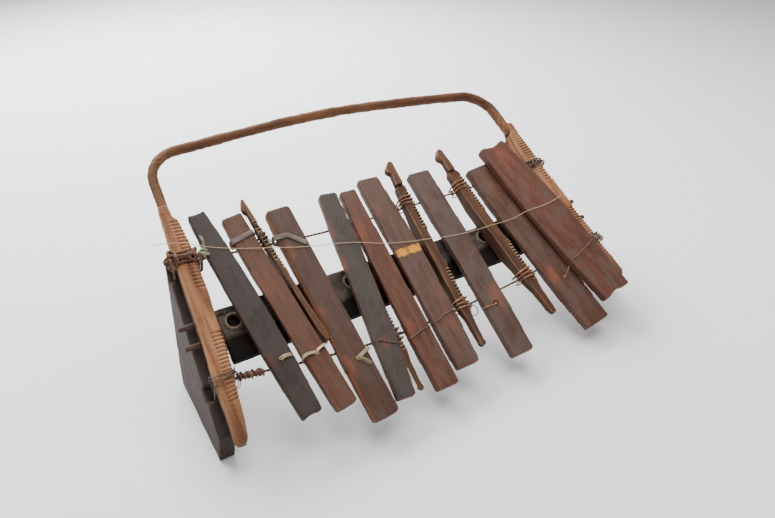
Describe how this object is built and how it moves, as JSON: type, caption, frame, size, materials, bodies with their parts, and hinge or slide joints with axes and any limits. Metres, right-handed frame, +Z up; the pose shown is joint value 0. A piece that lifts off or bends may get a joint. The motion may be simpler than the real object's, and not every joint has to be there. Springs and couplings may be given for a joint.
{
  "type": "frame xylophone",
  "caption": "Frame xylophone: carved wooden keys hung on cords between two rails of one bent hoop, tilted on two end boards, with separators and a resonator plank.",
  "frame": {"origin": "centre of the outline seen from above, on the surface that the end boards stand on", "axes": "+Z up, +X along the row of keys from the narrowest to the widest, +Y from the player's side to the hoop"},
  "size_m": [0.9132, 0.564, 0.3764],
  "materials": {
    "rail_wood": "carved pale wood, worn and greyed",
    "panel_wood": "dull weathered board",
    "plank_wood": "rough dark board, scorched along its near side",
    "peg_wood": "whittled, dull",
    "separator_wood": "carved, dark, rubbed edges",
    "key_wood": "red-brown hardwood, worn sheen",
    "dark_key_wood": "charcoal-brown hardwood, worn sheen",
    "wax": "dusty dried wax and clay",
    "hide": "twisted rawhide, dull",
    "raffia": "pale dry plant strip",
    "bark": "twisted bark fibre",
    "cloth": "knotted pale rag",
    "wire": "dull rusty wire",
    "string": "thin pale string"
  },
  "bodies": {
    "frame": {"hoop_frame": "rail_wood", "left_end_panel": "panel_wood", "right_end_panel": "panel_wood", "resonator_plank": "plank_wood", "wax_collars": "wax", "plank_pegs": "peg_wood", "separator_1": "separator_wood", "separator_2": "separator_wood", "separator_3": "separator_wood", "separator_4": "separator_wood", "far_thong": "hide", "near_thong": "hide", "bark_wrapping": "bark", "left_far_lashing": "bark", "left_near_lashing": "wire", "right_far_lashing": "hide", "right_near_lashing": "hide", "separator_1_lashing": "hide", "separator_2_lashing": "hide", "separator_3_lashing": "hide", "separator_4_lashing": "hide", "cloth_knot": "cloth", "wire_ring": "wire", "loose_string": "string"},
    "key_1": {"key_1": "dark_key_wood", "key_1_tie": "raffia"},
    "key_2": {"key_2": "key_wood", "key_2_tie": "raffia", "key_2_strap": "hide"},
    "key_3": {"key_3": "key_wood", "key_3_tie": "raffia", "key_3_strap": "hide"},
    "key_4": {"key_4": "dark_key_wood", "key_4_tie": "hide"},
    "key_5": {"key_5": "key_wood", "key_5_tie": "hide"},
    "key_6": {"key_6": "key_wood", "key_6_tie": "hide"},
    "key_7": {"key_7": "key_wood", "key_7_tie": "hide"},
    "key_8": {"key_8": "key_wood", "key_8_tie": "hide"},
    "key_9": {"key_9": "key_wood", "key_9_tie": "hide"}
  },
  "joints": [
    {"name": "key_1_bounce", "type": "slide", "parent": "frame", "child": "key_1", "axis": [0, -0.5299, 0.848], "range_m": [-0.003, 0], "stiffness_N_per_m": 2500, "springref_m": 0.0012},
    {"name": "key_2_bounce", "type": "slide", "parent": "frame", "child": "key_2", "axis": [0, -0.5299, 0.848], "range_m": [-0.003, 0], "stiffness_N_per_m": 2500, "springref_m": 0.0012},
    {"name": "key_3_bounce", "type": "slide", "parent": "frame", "child": "key_3", "axis": [0, -0.5299, 0.848], "range_m": [-0.003, 0], "stiffness_N_per_m": 2500, "springref_m": 0.0012},
    {"name": "key_4_bounce", "type": "slide", "parent": "frame", "child": "key_4", "axis": [0, -0.5299, 0.848], "range_m": [-0.003, 0], "stiffness_N_per_m": 2500, "springref_m": 0.0012},
    {"name": "key_5_bounce", "type": "slide", "parent": "frame", "child": "key_5", "axis": [0, -0.5299, 0.848], "range_m": [-0.003, 0], "stiffness_N_per_m": 2500, "springref_m": 0.0012},
    {"name": "key_6_bounce", "type": "slide", "parent": "frame", "child": "key_6", "axis": [0, -0.5299, 0.848], "range_m": [-0.003, 0], "stiffness_N_per_m": 2500, "springref_m": 0.0012},
    {"name": "key_7_bounce", "type": "slide", "parent": "frame", "child": "key_7", "axis": [0, -0.5299, 0.848], "range_m": [-0.003, 0], "stiffness_N_per_m": 2500, "springref_m": 0.0012},
    {"name": "key_8_bounce", "type": "slide", "parent": "frame", "child": "key_8", "axis": [0, -0.5299, 0.848], "range_m": [-0.003, 0], "stiffness_N_per_m": 2500, "springref_m": 0.0012},
    {"name": "key_9_bounce", "type": "slide", "parent": "frame", "child": "key_9", "axis": [0, -0.5299, 0.848], "range_m": [0, 0.0015], "stiffness_N_per_m": 2500, "springref_m": -0.0012}
  ]
}
